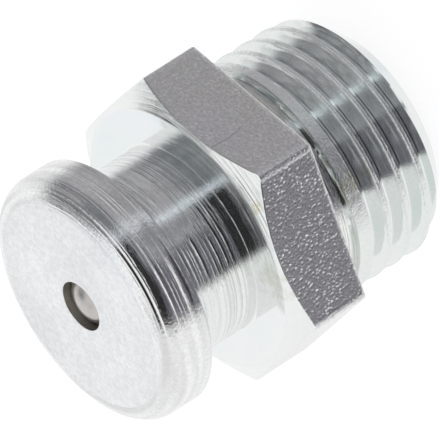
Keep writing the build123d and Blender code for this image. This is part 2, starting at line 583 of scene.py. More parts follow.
FINISHES = {
    Region.FACE: MetalFinish(
        "zinc_head_face", colour=(0.985, 0.985, 0.992), tint=(0.9, 0.903, 0.91), roughness=0.36,
        roughness_spread=0.05, ring_pitch=0.12, ring_height=0.0008, ring_shade=0.08, grain_pitch=0.17,
        grain_height=0.0024, grain_shade=0.45, seed=1.0,
    ),
    Region.RIM: MetalFinish(
        "zinc_turned_rim", colour=(0.98, 0.98, 0.985), tint=(0.95, 0.96, 0.96), roughness=0.14,
        ring_pitch=0.085, ring_height=0.009, ring_waver=5.0, ring_shade=0.55, grain_pitch=0.12,
        grain_height=0.0042, grain_shade=0.45, seed=2.0,
    ),
    Region.NECK: MetalFinish(
        "zinc_turned_neck", roughness=0.12, ring_pitch=0.07, ring_height=0.0065, ring_waver=3.5,
        ring_shade=0.25, grain_pitch=0.1, grain_height=0.0008, grain_shade=0.25, seed=3.0,
    ),
    Region.HEX_FRONT: MetalFinish(
        "zinc_hexagon_front", colour=(0.88, 0.885, 0.885), tint=(0.84, 0.88, 0.865), roughness=0.09,
        roughness_spread=0.03, ring_pitch=0.12, ring_height=0.0004, grain_pitch=0.3, grain_height=0.0002,
        outer=OuterZone(5.27, ring_height=0.01, ring_shade=0.1, grain_height=0.003),
        # Painted reflections: olive tints where the neck's foot is mirrored on the hexagon's front.
        painted_reflections=(
            PaintedReflection((-0.92, -4.71, 3.0), 1.5, (0.66, 0.67, 0.58), 0.7),
            PaintedReflection((1.95, -5.25, 2.85), 0.6, (0.66, 0.62, 0.47)),
        ),
        seed=4.0,
    ),
    Region.HEX_SIDE: MetalFinish(
        "zinc_drawn_flat", colour=(0.9, 0.9, 0.925), tint=(0.9, 0.9, 0.87), roughness=0.2,
        roughness_spread=0.05, grain_pitch=0.1, grain_height=0.0027, grain_shade=0.7, dimple_height=0.012,
        dimple_pitch=0.145, dimple_share=0.62, outer=OuterZone(6.24, grain_height=0.012),
        scratches=(
            Scratch(-30.0, -0.947, 1.4, 2.77, -0.221, 0.141, width=0.035, strength=0.7),
            Scratch(-30.0, -1.554, 1.215, 1.4, 3.3, 0.0, width=0.09, strength=0.4),
        ),
        seed=5.0,
    ),
    Region.THREAD: MetalFinish(
        "zinc_rolled_thread", colour=(0.85, 0.87, 0.865), tint=(0.81, 0.85, 0.835), roughness=0.12,
        roughness_spread=0.04, ring_pitch=0.1, ring_height=0.0006, grain_pitch=0.08, grain_height=0.001,
        grain_shade=0.2, outer=OuterZone(4.78, grain_height=0.012, roughness=0.05),
        # Painted reflection: an olive tint on the first crest that stands in for reflected shading.
        painted_reflections=(PaintedReflection((0.573, -4.665, -1.5), 1.1, (0.74, 0.73, 0.6)),), seed=6.0,
    ),
    Region.UNDERCUT: MetalFinish(
        "zinc_turned_undercut", colour=(0.95, 0.95, 0.95), tint=(0.93, 0.92, 0.85), roughness=0.15,
        ring_pitch=0.09, ring_height=0.018, ring_waver=4.0, ring_shade=0.35, grain_pitch=0.09,
        grain_height=0.003, grain_shade=0.3, seed=10.0,
    ),
    Region.BORE: MetalFinish(
        # The bore is coloured darker than the outer plating.
        "zinc_darker_bore", colour=(0.44, 0.41, 0.37), tint=(0.36, 0.34, 0.3), roughness=0.45,
        ring_pitch=0.2, ring_height=0.004, grain_height=0.004, grain_shade=0.4, seed=7.0,
    ),
}
BALL_FINISH = MetalFinish(
    "polished_ball_steel", colour=(0.595, 0.57, 0.55), tint=(0.56, 0.535, 0.515), roughness=0.3,
    roughness_spread=0.04, grain_pitch=0.4, grain_height=0.0003, grain_shade=0.15, seed=8.0,
)
SPRING_FINISH = MetalFinish(
    "drawn_spring_wire", colour=(0.6, 0.6, 0.61), tint=(0.5, 0.49, 0.47), roughness=0.3,
    grain_pitch=0.05, grain_height=0.0008, grain_shade=0.2, seed=9.0,
)


# ------------------------------------------------------------- turned body


# Points round the axis, and the sizes that the body, the thread, the spring and the floor share.
COLUMNS = 288
UNDERCUT_RADIUS = 4.5
SHANK_TOP = -0.93
END_Z = -5.6
END_RADIUS = 3.9
LIP_TOP = -5.15


@dataclass
class Ring:
    """One closed row of points round the axis, and the region between it and the next row."""

    radius: np.ndarray
    height: np.ndarray
    angle: np.ndarray
    region: Region


@dataclass(frozen=True)
class Mark:
    """A ring that the turning tool left in an outline, with a depth that wavers round the turn."""

    PHASE_STEP = 7.9
    SLOW_WAVER = 0.14
    QUICK_WAVER = 0.1

    at: float
    depth: float
    half_width: float
    facing: float = 0.0
    reach: float = 360.0

    def cut(self, along: float) -> float:
        """Return how deep the ring is at a place along the outline."""
        share = min(1.0, abs(along - self.at) / self.half_width)
        return self.depth * math.cos(share * math.pi / 2) ** 2

    def swing(self, angle: np.ndarray) -> np.ndarray:
        """Share of its depth that the ring has at each angle.

        Args:
            angle: Angles about the axis in radians.

        Returns:
            The shares.
        """
        phase = self.PHASE_STEP * self.at
        away = np.abs((np.degrees(angle) - self.facing + 180) % 360 - 180)
        window = np.clip(2 * (1 - away / self.reach), 0, 1)
        slow = self.SLOW_WAVER * np.sin(2 * angle + 3 * phase)
        quick = self.QUICK_WAVER * np.sin(5 * angle + phase)
        return window * (1 + slow + quick)

    def steps(self) -> list[float]:
        """Return the places along the outline that the ring needs rows at."""
        return [self.at + self.half_width * share for share in (-1, -0.5, 0, 0.5, 1)]


@dataclass
class TurnedBody:
    """The nipple's rows, from its undercut over hexagon, neck and head, and down the passage to its end.

    Beside an edge that stays crisp a row stands `hold` away. Rows over turning marks are at least
    `row_gap` apart.
    """

    columns: int = COLUMNS
    hold: float = 0.03
    row_gap: float = 0.016
    wall_spacing: float = 0.15
    round_spacing: float = 0.08
    head_radius: float = 5.0
    head_edge_radius: float = 0.8
    head_back_chamfer: float = 0.12
    face_z: float = 8.1
    face_row: float = 2.6
    neck_top: float = 6.1
    neck_radius: float = 3.8
    neck_root: float = 0.04
    hex_half: float = 5.5
    hex_height: float = 3.0
    hex_corner_round: float = 0.2
    hex_edge_round: float = 0.06
    hex_cone_radius: float = 5.3
    hex_cone_angle: float = 30.0
    front_rows: tuple[float, ...] = (4.9, 4.5)
    corner_crowding: float = 0.75
    relief_radius: float = 4.95
    relief_depth: float = 0.12
    relief_round: float = 0.12
    undercut_radius: float = UNDERCUT_RADIUS
    shank_top: float = SHANK_TOP
    end_z: float = END_Z
    end_radius: float = END_RADIUS
    end_row: float = 3.2
    stake_radius: float = 2.35
    stake_depth: float = 0.3
    lip_radius: float = 1.15
    lip_top: float = LIP_TOP
    bore_radius: float = 1.7
    bore_top: float = 7.02
    bore_rows: tuple[float, ...] = (3.0, -1.0)
    seat_edge: float = 7.72
    inlet_radius: float = 1.0
    edge_break: float = 0.02
    neck_marks: tuple[Mark, ...] = (
        Mark(3.46, 0.016, 0.05), Mark(3.645, 0.038, 0.09), Mark(3.905, 0.036, 0.085), Mark(4.05, 0.011, 0.05),
        Mark(4.205, 0.026, 0.085), Mark(4.405, 0.022, 0.075), Mark(4.575, 0.034, 0.08, -80.0, 26.0),
        Mark(4.7, 0.007, 0.04), Mark(4.855, 0.036, 0.085, -80.0, 26.0), Mark(5.065, 0.022, 0.075),
        Mark(5.19, 0.013, 0.05, -80.0, 26.0), Mark(5.325, 0.024, 0.075), Mark(5.52, 0.018, 0.07),
        Mark(5.7, 0.01, 0.06), Mark(5.84, 0.014, 0.07),
    )
    undercut_marks: tuple[Mark, ...] = (
        Mark(-0.85, 0.016, 0.06), Mark(-0.73, 0.018, 0.06), Mark(-0.61, 0.018, 0.06),
        Mark(-0.48, 0.014, 0.06), Mark(-0.34, 0.01, 0.06),
    )
    rim_marks: tuple[Mark, ...] = (
        Mark(6.38, 0.012, 0.05, -30.0, 60.0), Mark(6.54, 0.035, 0.12, -80.0, 36.0),
        Mark(6.66, 0.035, 0.12, -80.0, 36.0), Mark(6.79, 0.01, 0.04, -30.0, 50.0), Mark(6.9, 0.008, 0.05),
        Mark(7.05, 0.011, 0.05), Mark(7.265, 0.032, 0.11, -80.0, 40.0),
    )
    edge_marks: tuple[Mark, ...] = (
        Mark(-2.5, 0.032, 0.11, -80.0, 40.0), Mark(10.0, 0.014, 0.045, -28.0, 44.0),
        Mark(19.0, 0.036, 0.055, -9.0, 26.0), Mark(29.5, 0.042, 0.085, -8.0, 28.0),
        Mark(38.0, 0.012, 0.04, -30.0, 50.0), Mark(47.5, 0.034, 0.085), Mark(57.5, 0.018, 0.05),
        Mark(66.0, 0.006, 0.04, -30.0, 60.0), Mark(83.0, 0.006, 0.05),
    )
    rings: list[Ring] = field(default_factory=list)

    def angles(self) -> np.ndarray:
        """Return the evenly spaced angles of a round row."""
        return np.arange(self.columns) * TURN / self.columns

    def crowded_angles(self) -> np.ndarray:
        """Angles that crowd towards the hexagon's six corners.

        Returns:
            The angles in radians.
        """
        per_side = self.columns // 6
        steps = np.arange(self.columns)
        share = (steps % per_side) / per_side
        eased = share - self.corner_crowding * np.sin(TURN * share) / TURN
        return (steps // per_side + eased) * TURN / 6

    def hexagon_radius(self, angle: np.ndarray, inset: float = 0.0) -> np.ndarray:
        """Distance from the axis to the hexagon's round-cornered side.

        Args:
            angle: Angles about the axis, with corners at 0, 60 degrees and so on.
            inset: How far the outline is drawn in from the full hexagon.

        Returns:
            One radius for each angle.
        """
        half = self.hex_half - inset
        rounding = self.hex_corner_round
        corner_centre = (half - rounding) / math.cos(math.radians(30))
        from_corner = np.abs((angle + TURN / 12) % (TURN / 6) - TURN / 12)
        from_flat = TURN / 12 - from_corner
        flat = half / np.cos(from_flat)
        lateral = np.clip(corner_centre * np.sin(from_corner) / rounding, -1, 1)
        arc = corner_centre * np.cos(from_corner) + rounding * np.sqrt(1 - lateral**2)
        touch = TURN / 12 - math.atan((half - rounding) * math.tan(TURN / 12) / half)
        return np.where(from_corner < touch, arc, flat)

    def round_row(self, radius: float | np.ndarray, height: float | np.ndarray, region: Region) -> None:
        """Add a row round the axis.

        Args:
            radius: Its radius, or one radius for each column.
            height: Its place along the axis, or one for each column.
            region: The region from this row to the next.
        """
        ones = np.ones(self.columns)
        self.rings.append(Ring(radius * ones, height * ones, self.angles(), region))

    def profile(self, points: list[tuple[float, float]], region: Region) -> None:
        """Add circular rows along an outline.

        Args:
            points: (radius, height) places in order.
            region: The region that the outline belongs to.
        """
        for radius, height in points:
            self.round_row(radius, height, region)

    def steps(self, low: float, high: float, marks: tuple[Mark, ...], spacing: float) -> np.ndarray:
        """Places between two ends that carry every mark and leave no wide gap.

        Args:
            low: First place.
            high: Last place.
            marks: The marks in between.
            spacing: Widest gap between two places.

        Returns:
            The places in rising order.
        """
        wanted = [low, high] + [step for mark in marks for step in mark.steps()]
        wanted = sorted(step for step in wanted if low <= step <= high)
        kept = [wanted[0]]
        for step in wanted[1:]:
            if step - kept[-1] < self.row_gap:
                continue
            extra = math.ceil((step - kept[-1]) / spacing)
            kept += list(np.linspace(kept[-1], step, extra + 1)[1:])
        return np.array(kept)

    def marked_wall(
        self, radius: float, low: float, high: float, marks: tuple[Mark, ...], region: Region
    ) -> None:
        """Add rows up a straight round wall with turning marks.

        Args:
            radius: The wall's radius.
            low: Its lower end.
            high: Its upper end.
            marks: The marks, placed by height.
            region: The wall's region.
        """
        angle = self.angles()
        for height in self.steps(low, high, marks, self.wall_spacing):
            depth = sum(mark.cut(height) * mark.swing(angle) for mark in marks)
            self.round_row(radius - depth, height, region)

    def marked_round(
        self, corner: tuple[float, float], radius: float, marks: tuple[Mark, ...], region: Region
    ) -> None:
        """Add rows round a convex quarter circle with turning marks.

        Args:
            corner: (radius, height) of the quarter circle's centre.
            radius: Its own radius.
            marks: The marks, placed by the angle in degrees above the wall.
            region: The region of the round.
        """
        angle = self.angles()
        scaled = tuple(replace(mark, at=math.radians(mark.at) * radius) for mark in marks)
        for along in self.steps(0.0, math.radians(90) * radius, scaled, self.round_spacing):
            reach = radius - sum(mark.cut(along) * mark.swing(angle) for mark in scaled)
            tilt = along / radius
            self.round_row(corner[0] + reach * math.cos(tilt), corner[1] + reach * math.sin(tilt), region)

    def hex_row(self, inset: float, below_cone: float | None, height: float, region: Region) -> None:
        """Add a row round the hexagon's side.

        Args:
            inset: How far the row is drawn in from the hexagon's sides.
            below_cone: Drop below the front cone's edge, or None for a level row.
            height: Height of a level row.
            region: The region from this row to the next.
        """
        angle = self.crowded_angles()
        radius = self.hexagon_radius(angle, inset)
        level = np.full(self.columns, float(height))
        if below_cone is not None:
            edge = self.hexagon_radius(angle)
            level = self.cone_height(edge) - below_cone
        self.rings.append(Ring(radius, level, angle, region))

    def cone_height(self, radius: np.ndarray) -> np.ndarray:
        """Return the height of the hexagon's front cone at a radius."""
        return self.hex_height - (radius - self.hex_cone_radius) * math.tan(math.radians(self.hex_cone_angle))

    def cone_row(self, share: float, region: Region) -> None:
        """Add a row on the front cone.

        Args:
            share: 0 at the cone's inner circle and 1 at the hexagon's side.
            region: The region from this row to the next.
        """
        angle = self.crowded_angles()
        side = self.hexagon_radius(angle)
        radius = self.hex_cone_radius + (side - self.hex_cone_radius) * share
        self.rings.append(Ring(radius, self.cone_height(radius), angle, region))

    def build(self) -> None:
        """Lay every row, from the top of the shank up over the head and down the passage."""
        self.rings.clear()
        self._seat_and_undercut()
        self._hexagon()
        self._neck()
        self._head()
        self._passage()
        self._end_face()

    def _seat_and_undercut(self) -> None:
        """Undercut behind the seating face, the relief and the seat."""
        radius, level, rounding = self.undercut_radius, self.relief_depth, self.relief_round
        self.round_row(radius, self.shank_top, Region.UNDERCUT)
        low = self.shank_top + 0.02
        self.marked_wall(radius, low, level - rounding, self.undercut_marks, Region.UNDERCUT)
        rows = [
            (radius + rounding * (1 - math.cos(angle)), level - rounding * (1 - math.sin(angle)))
            for angle in np.radians([22.5, 45, 67.5, 90])
        ]
        edge = self.relief_radius
        rows += [(radius + rounding + 0.02, level), (edge - 0.06, level), (edge, level - 0.01), (edge, 0.02)]
        rows += [(edge + 0.015, 0.0), (edge + 0.04, 0.0)]
        self.profile(rows, Region.HEX_FRONT)

    def _hexagon(self) -> None:
        """Seat edge, six flats, front cone and front face of the hexagon."""
        edge = self.hex_edge_round
        self.hex_row(3 * edge, None, 0.0, Region.HEX_FRONT)
        for inset, height in ((edge, 0.0), (0.3 * edge, 0.3 * edge), (0.0, edge), (0.0, 3 * edge)):
            self.hex_row(inset, None, height, Region.HEX_SIDE)
        for below_cone in (0.5, 0.05, 0.03):
            self.hex_row(0.0, below_cone, 0.0, Region.HEX_SIDE)
        self.hex_row(0.006, 0.004, 0.0, Region.HEX_FRONT)
        for share in (0.96, 0.9, 0.6, 0.3, 0.06):
            self.cone_row(share, Region.HEX_FRONT)
        inner = self.hex_cone_radius
        top = self.hex_height
        rows = [(inner - 0.02, top - 0.004), (inner - 0.07, top)]
        rows += [(radius, top) for radius in self.front_rows]
        rows += [(self.neck_radius + self.neck_root + 0.1, top)]
        self.profile(rows, Region.HEX_FRONT)

    def _neck(self) -> None:
        """Neck between the hexagon and the head, with its tool marks and a small root at each end."""
        radius, root = self.neck_radius, self.neck_root
        low, high = self.hex_height, self.neck_top
        sweep = np.radians([10, 45, 80])
        bend = [(root * (1 - math.sin(angle)), root * (1 - math.cos(angle))) for angle in sweep]
        self.profile([(radius + out, low + up) for out, up in bend], Region.NECK)
        self.marked_wall(radius, low + root + 0.01, high - root - 0.01, self.neck_marks, Region.NECK)
        self.profile([(radius + out, high - up) for out, up in bend[::-1]], Region.NECK)

    def _head(self) -> None:
        """Back of the head, its turned rim, the large round and the flat face."""
        radius, back, top = self.head_radius, self.neck_top, self.face_z
        chamfer, edge, hold = self.head_back_chamfer, self.head_edge_radius, self.hold
        rise = back + chamfer
        rows = [(self.neck_radius + self.neck_root + 0.1, back), (radius - chamfer - 0.05, back)]
        rows += [(radius - chamfer, back + 0.01), (radius - hold, rise - hold), (radius, rise)]
        self.profile(rows, Region.RIM)
        self.marked_wall(radius, rise + hold, top - edge - 0.02, self.rim_marks, Region.RIM)
        self.marked_round((radius - edge, top - edge), edge, self.edge_marks, Region.RIM)
        flat = radius - edge
        rows = [(flat - 0.02, top), (flat - 0.04, top - 0.006), (flat - 0.06, top), (flat - 0.3, top)]
        rows += [(self.face_row, top), (self.inlet_radius + 0.3, top)]
        self.profile(rows, Region.FACE)

    def _passage(self) -> None:
        """Inlet, valve seat, spring bore and lip opening."""
        inlet, edge, top, hold = self.inlet_radius, self.edge_break, self.face_z, self.hold
        bore, lip, shelf, seat = self.bore_radius, self.lip_radius, self.lip_top, self.seat_edge
        rows = [(inlet + edge + 0.02, top), (inlet + edge, top), (inlet + 0.3 * edge, top - 0.3 * edge)]
        self.profile(rows, Region.FACE)
        rows = [(inlet, top - edge), (inlet, top - 2 * edge), (inlet, seat + hold), (inlet, seat)]
        rows += [(inlet + hold, seat - hold), (bore - hold, self.bore_top + hold)]
        rows += [(bore, self.bore_top), (bore, self.bore_top - 0.05)]
        rows += [(bore, height) for height in self.bore_rows]
        rows += [(bore, shelf + hold), (bore, shelf), (bore - hold, shelf)]
        rows += [(lip + hold, shelf), (lip, shelf - 0.02)]
        self.profile(rows, Region.BORE)

    def _end_face(self) -> None:
        """Lip, staking ring and end face, out to the end chamfer of the thread."""
        end, ring, depth, hold = self.end_z, self.stake_radius, self.stake_depth, self.hold
        lip = self.lip_radius
        rows = [(lip, end + 0.06), (lip + 0.05, end + 0.005), (lip + 0.09, end)]
        rows += [(ring - depth - hold, end), (ring - depth, end + 0.01), (ring - hold, end + depth - hold)]
        rows += [(ring, end + depth - 0.01), (ring + hold, end + depth - hold), (ring + depth, end + 0.01)]
        rows += [(ring + depth + hold, end), (self.end_row, end)]
        rows += [(self.end_radius - hold, end), (self.end_radius, end)]
        self.profile(rows, Region.THREAD)

    def mesh(self) -> bmesh.types.BMesh:
        """Join the rows by faces.

        Returns:
            The mesh, open at the first and last row.
        """
        made = bmesh.new()
        rows = []
        for ring in self.rings:
            x, y = ring.radius * np.cos(ring.angle), ring.radius * np.sin(ring.angle)
            points = np.stack([x, y, ring.height], axis=1) * MM
            rows.append([made.verts.new(point) for point in points])
        for ring, near, far in zip(self.rings, rows, rows[1:]):
            for i in range(self.columns):
                j = (i + 1) % self.columns
                face = made.faces.new((near[i], near[j], far[j], far[i]))
                face.material_index = ring.region.value
        return made


# --------------------------------------------------------- geometry nodes


class RepeatTree:
    """A Geometry Nodes tree with named inputs that becomes a plain mesh."""

    def __init__(self, name: str) -> None:
        """Start an empty tree with a geometry output.

        Args:
            name: The tree's name.
        """
        self.tree = bpy.data.node_groups.new(name, "GeometryNodeTree")
        self.tree.is_modifier = True
        self.tree.interface.new_socket("Geometry", in_out="OUTPUT", socket_type="NodeSocketGeometry")
        self.sheet = Sheet(self.tree)
        self.identifiers: dict[str, str] = {}
        self.values: dict[str, object] = {}

    def inputs(self, values: dict[str, float | int]) -> dict[str, bpy.types.NodeSocket]:
        """Args:
            values: The value of each input by name; whole numbers make integer inputs.

        Returns:
            The group input's sockets by name.
        """
        for name, value in values.items():
            kind = "NodeSocketInt" if isinstance(value, int) else "NodeSocketFloat"
            socket = self.tree.interface.new_socket(name, in_out="INPUT", socket_type=kind)
            self.identifiers[name] = socket.identifier
            self.values[name] = value
        outputs = self.sheet.add("NodeGroupInput").outputs
        return {name: outputs[name] for name in values}

    def finish(self, geometry: bpy.types.NodeSocket, material: bpy.types.Material) -> None:
        """End the tree with realised geometry that carries a material.

        Args:
            geometry: The geometry made so far.
            material: The material of all of it.
        """
        smooth = self.sheet.add("GeometryNodeSetShadeSmooth", {"Geometry": geometry})
        real = self.sheet.add("GeometryNodeRealizeInstances", {"Geometry": smooth.outputs[0]})
        inputs = {"Geometry": real.outputs[0], "Material": material}
        dressed = self.sheet.add("GeometryNodeSetMaterial", inputs)
        self.sheet.add("NodeGroupOutput", {0: dressed.outputs[0]})

    def plain_mesh(self) -> bpy.types.Mesh:
        """Evaluate the tree once.

        Returns:
            A plain mesh, with no modifier left behind.
        """
        carrier = bpy.data.objects.new(self.tree.name, bpy.data.meshes.new(self.tree.name))
        bpy.context.scene.collection.objects.link(carrier)
        modifier = carrier.modifiers.new("repeat", "NODES")
        modifier.node_group = self.tree
        for name, identifier in self.identifiers.items():
            modifier[identifier] = self.values[name]
        graph = bpy.context.evaluated_depsgraph_get()
        mesh = bpy.data.meshes.new_from_object(carrier.evaluated_get(graph))
        bpy.data.objects.remove(carrier)
        return mesh


@dataclass
class PipeThread:
    """Parallel pipe thread on the shank, cut by a rule along the helix."""

    columns: int = COLUMNS
    rows_per_pitch: int = 16
    first_row: int = -76
    last_row: int = 27
    major_radius: float = 4.85
    depth: float = 0.58
    pitch: float = 25.4 / 28
    flank_angle: float = 27.5
    crest_width: float = 0.16
    crest_round: float = 0.1
    root_round: float = 0.14
    crest_at: float = -2.2136
    row_crowding: float = 0.7
    bottom: float = END_Z
    top: float = SHANK_TOP
    end_radius: float = END_RADIUS
    undercut_radius: float = UNDERCUT_RADIUS
    shoulder: float = -1.03
    shoulder_span: float = 0.16
    full_groove: float = -1.5
    last_groove: float = -1.12
    blend: float = 0.05
    crest_wear: float = 0.02
    wear_pitch: float = 0.3
    wear_reach: float = 0.12
    seed: int = 12

    def mesh(self, material: bpy.types.Material) -> bpy.types.Mesh:
        """Build the thread.

        Args:
            material: The thread's finish.

        Returns:
            A plain mesh, open at its top and bottom circles.
        """
        repeat = RepeatTree("pipe_thread")
        sheet = repeat.sheet
        given = repeat.inputs(self._inputs())
        size = {"Size X": 1.0, "Size Y": 1.0}
        grid = sheet.add(
            "GeometryNodeMeshGrid", {**size, "Vertices X": given["Columns"], "Vertices Y": given["Rows"]}
        )
        x, y, _ = sheet.split(sheet.add("GeometryNodeInputPosition").outputs[0])
        turn = sheet.plus(x, 0.5)
        height, inward = self._height(sheet, given, turn, y)
        fall = self._fall(sheet, given, turn, height)
        radius = sheet.minus(given["Major radius"], fall)

        angle = sheet.times(turn, TURN)
        round_x, round_y = sheet.math("COSINE", angle), sheet.math("SINE", angle)
        there = [sheet.times(side, given["Major radius"]) for side in (round_x, round_y)]
        there = sheet.scaled(sheet.join(*there, height), sheet.ratio(1.0, given["Wear pitch"]))
        nick = sheet.remap(sheet.noise(there, 1.0, 3.0, 0.6, given["Seed"]), 0.45, 0.75)
        worn = sheet.times(sheet.times(nick, sheet.fade(fall, 0.0, self.wear_reach)), given["Crest wear"])
        radius = sheet.minus(radius, worn)

        end_cone = sheet.plus(given["End radius"], sheet.minus(height, given["Bottom"]))
        shoulder = sheet.plus(sheet.minus(1.0, inward), given["Undercut radius"])
        radius = sheet.math("SMOOTH_MIN", radius, end_cone, given["Blend"])
        radius = sheet.math("MINIMUM", radius, shoulder)
        place = sheet.join(sheet.times(round_x, radius), sheet.times(round_y, radius), height)
        laid = sheet.add(
            "GeometryNodeSetPosition", {"Geometry": grid.outputs["Mesh"], "Position": sheet.scaled(place, MM)}
        )
        welded = sheet.add("GeometryNodeMergeByDistance", {"Geometry": laid.outputs[0], "Distance": WELD})
        repeat.finish(welded.outputs[0], material)
        return repeat.plain_mesh()

    def _inputs(self) -> dict[str, float | int]:
        """Inputs of the thread's tree.

        Returns:
            Their values by name.
        """
        return {
            "Columns": self.columns + 1, "Rows": self.last_row - self.first_row + 1,
            "Rows per pitch": self.rows_per_pitch, "First row": self.first_row,
            "Major radius": self.major_radius, "Depth": self.depth, "Pitch": self.pitch,
            "Flank slope": math.tan(math.radians(self.flank_angle)), "Crest width": self.crest_width,
            "Crest round": self.crest_round, "Root round": self.root_round, "Crest at": self.crest_at,
            "Row crowding": self.row_crowding, "Bottom": self.bottom, "Top": self.top,
            "End radius": self.end_radius, "Undercut radius": self.undercut_radius,
            "Shoulder": self.shoulder, "Shoulder span": self.shoulder_span, "Blend": self.blend,
            "Crest wear": self.crest_wear, "Wear pitch": self.wear_pitch, "Full groove": self.full_groove,
            "Last groove": self.last_groove, "Seed": self.seed,
        }

    @staticmethod
    def _height(sheet: Sheet, given: dict, turn: object, across: object) -> tuple[bpy.types.NodeSocket, ...]:
        """Height of each point, with rows crowded on crests and roots and folded onto the upright shoulder.

        Args:
            sheet: The tree's sheet.
            given: The tree's inputs.
            turn: The point's share of a turn, from 0 to 1.
            across: The point's place over the rows, from -0.5 to 0.5.

        Returns:
            The height, and how far in on the shoulder the point lies, from 0 to 1.
        """
        row = sheet.times(sheet.plus(across, 0.5), sheet.minus(given["Rows"], 1.0))
        row = sheet.plus(row, given["First row"])
        step = sheet.ratio(row, given["Rows per pitch"])
        wave = sheet.math("SINE", sheet.times(step, 2 * TURN))
        crowd = sheet.ratio(given["Row crowding"], 2 * TURN)
        step = sheet.minus(step, sheet.times(crowd, wave))
        rise = sheet.times(sheet.plus(step, turn), given["Pitch"])
        height = sheet.plus(rise, given["Crest at"])
        inward = sheet.ratio(sheet.minus(height, given["Shoulder"]), given["Shoulder span"])
        inward = sheet.math("MINIMUM", sheet.math("MAXIMUM", inward, 0.0), 1.0)
        height = sheet.minus(height, sheet.times(inward, given["Shoulder span"]))
        return sheet.math("MINIMUM", sheet.math("MAXIMUM", height, given["Bottom"]), given["Top"]), inward

    @staticmethod
    def _fall(sheet: Sheet, given: dict, turn: object, height: object) -> bpy.types.NodeSocket:
        """How far the thread's surface lies below the crest, with the last groove run out.

        Args:
            sheet: The tree's sheet.
            given: The tree's inputs.
            turn: The point's share of a turn.
            height: The point's height.

        Returns:
            The distance towards the axis.
        """
        turns = sheet.ratio(sheet.minus(height, given["Crest at"]), given["Pitch"])
        turns = sheet.minus(turns, turn)
        groove = sheet.plus(sheet.plus(sheet.math("FLOOR", turns), 0.5), turn)
        groove = sheet.math("MULTIPLY_ADD", groove, given["Pitch"], given["Crest at"])
        cut = sheet.fade(groove, given["Full groove"], given["Last groove"])
        from_crest = sheet.math("WRAP", turns, 0.5, -0.5)
        from_crest = sheet.times(sheet.math("ABSOLUTE", from_crest), given["Pitch"])
        beyond = sheet.minus(from_crest, sheet.times(given["Crest width"], 0.5))
        fall = sheet.ratio(beyond, given["Flank slope"])
        fall = sheet.math("SMOOTH_MAX", fall, 0.0, given["Crest round"])
        fall = sheet.math("SMOOTH_MIN", fall, given["Depth"], given["Root round"])
        return sheet.times(fall, cut)


@dataclass
class ValveSpring:
    """Open-coil spring between the lip and the ball, with capped wire ends."""

    wire: float = 0.28
    mean_radius: float = 1.15
    coils: float = 5.5
    bottom: float = -5.13
    top: float = 5.4555
    points_per_coil: int = 48
    wire_points: int = 16
    rests_at: float = LIP_TOP
    ball_travel: float = 0.8

    def build(self, material: bpy.types.Material) -> bpy.types.Object:
        """Build the spring.

        Args:
            material: The wire's finish.

        Returns:
            The spring's object.
        """
        repeat = RepeatTree("valve_spring_coils")
        sheet = repeat.sheet
        inner = self.wire / 2
        given = repeat.inputs(
            {
                "Points": round(self.coils * self.points_per_coil), "Coils": self.coils,
                "Mean radius": self.mean_radius, "Wire radius": inner, "Bottom": self.bottom + inner,
                "Length": self.top - self.bottom - 2 * inner, "Wire points": self.wire_points,
            }
        )
        line = sheet.add("GeometryNodeCurvePrimitiveLine", {"Start": (0, 0, 0), "End": (0, 0, 1)})
        even = sheet.add("GeometryNodeResampleCurve", {"Curve": line.outputs[0], "Count": given["Points"]})
        share = sheet.split(sheet.add("GeometryNodeInputPosition").outputs[0])[2]
        angle = sheet.times(sheet.times(share, given["Coils"]), TURN)
        place = [sheet.times(sheet.math(side, angle), given["Mean radius"]) for side in ("COSINE", "SINE")]
        place = sheet.join(*place, sheet.math("MULTIPLY_ADD", share, given["Length"], given["Bottom"]))
        coil = sheet.add(
            "GeometryNodeSetPosition", {"Geometry": even.outputs[0], "Position": sheet.scaled(place, MM)}
        )
        thickness = sheet.times(given["Wire radius"], MM)
        ring = sheet.add(
            "GeometryNodeCurvePrimitiveCircle", {"Resolution": given["Wire points"], "Radius": thickness}
        )
        tube = {"Curve": coil.outputs[0], "Profile Curve": ring.outputs[0], "Fill Caps": True}
        repeat.finish(sheet.add("GeometryNodeCurveToMesh", tube).outputs[0], material)
        return place_object("wound_spring", repeat.plain_mesh())


def place_object(name: str, mesh: bpy.types.Mesh) -> bpy.types.Object:
    """Link a mesh at the origin.

    Args:
        name: The object's name.
        mesh: A mesh whose place is in its points.

    Returns:
        The object.
    """
    made = bpy.data.objects.new(name, mesh)
    bpy.context.scene.collection.objects.link(made)
    return made


def join_closed(parts: list[tuple[bmesh.types.BMesh, int | None]], name: str) -> bpy.types.Mesh:
    """Weld open meshes into one closed mesh with outward faces.

    Args:
        parts: Meshes, each with a material number for all its faces or None to keep its own.
        name: The new mesh's name.

    Returns:
        The welded mesh.
    """
    whole = bmesh.new()
    for part, number in parts:
        points = [whole.verts.new(point.co) for point in part.verts]
        part.verts.index_update()
        for face in part.faces:
            made = whole.faces.new([points[point.index] for point in face.verts])
            made.material_index = face.material_index if number is None else number
        part.free()
    bmesh.ops.remove_doubles(whole, verts=whole.verts, dist=WELD)
    bmesh.ops.dissolve_degenerate(whole, edges=whole.edges, dist=0.1 * WELD)
    bmesh.ops.recalc_face_normals(whole, faces=whole.faces)
    for face in whole.faces:
        face.smooth = True
    open_edges = sum(not edge.is_manifold for edge in whole.edges)
    LOG.info("%s: %d faces, %d open edges", name, len(whole.faces), open_edges)
    mesh = bpy.data.meshes.new(name)
    whole.to_mesh(mesh)
    whole.free()
    return mesh


